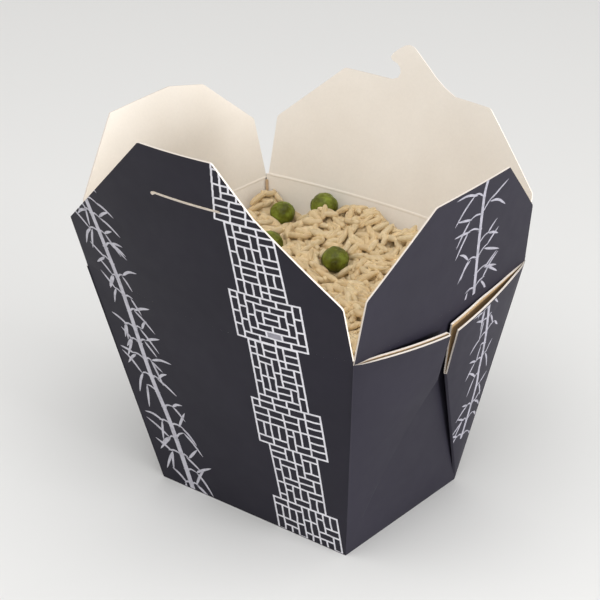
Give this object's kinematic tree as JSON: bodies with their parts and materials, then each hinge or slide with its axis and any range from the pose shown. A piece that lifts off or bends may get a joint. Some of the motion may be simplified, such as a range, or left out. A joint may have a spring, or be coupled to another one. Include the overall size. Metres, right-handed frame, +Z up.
{
  "type": "noodle takeaway box",
  "caption": "Open fold-up paperboard takeaway box with four lid flaps, a slit and a hooked tab, filled with cooked rice and green peas.",
  "frame": {"origin": "centre of the base, on its underside", "axes": "+Z up, +X along the front panel to its right, +Y from the front panel to the back panel"},
  "size_m": [0.1394, 0.1462, 0.1594],
  "materials": {
    "board": "paperboard, dark charcoal print with a soft sheen outside, plain cream inside",
    "rice": "cooked rice, moist",
    "pea": "cooked green pea, slightly wrinkled skin"
  },
  "bodies": {
    "box": {"carton": "board", "rice_heap": "rice", "pea_back_left": "pea", "pea_back_wall": "pea", "pea_left": "pea", "pea_middle": "pea", "pea_right_hidden": "pea", "pea_front_hidden": "pea"},
    "front_lid": {"flap_front": "board"},
    "back_lid": {"flap_back": "board"},
    "left_lid": {"flap_left": "board"},
    "right_lid": {"flap_right": "board"}
  },
  "joints": [
    {"name": "front_fold", "type": "hinge", "parent": "box", "child": "front_lid", "pos_m": [0, -0.0487, 0.09], "axis": [-1, 0, 0], "range_deg": [0, 102]},
    {"name": "back_fold", "type": "hinge", "parent": "box", "child": "back_lid", "pos_m": [0, 0.0487, 0.09], "axis": [1, 0, 0], "range_deg": [0, 102.9]},
    {"name": "left_fold", "type": "hinge", "parent": "box", "child": "left_lid", "pos_m": [-0.0591, 0, 0.0886], "axis": [0, 1, 0], "range_deg": [0, 100.6]},
    {"name": "right_fold", "type": "hinge", "parent": "box", "child": "right_lid", "pos_m": [0.0591, 0, 0.0886], "axis": [0, -1, 0], "range_deg": [0, 102.8]}
  ]
}
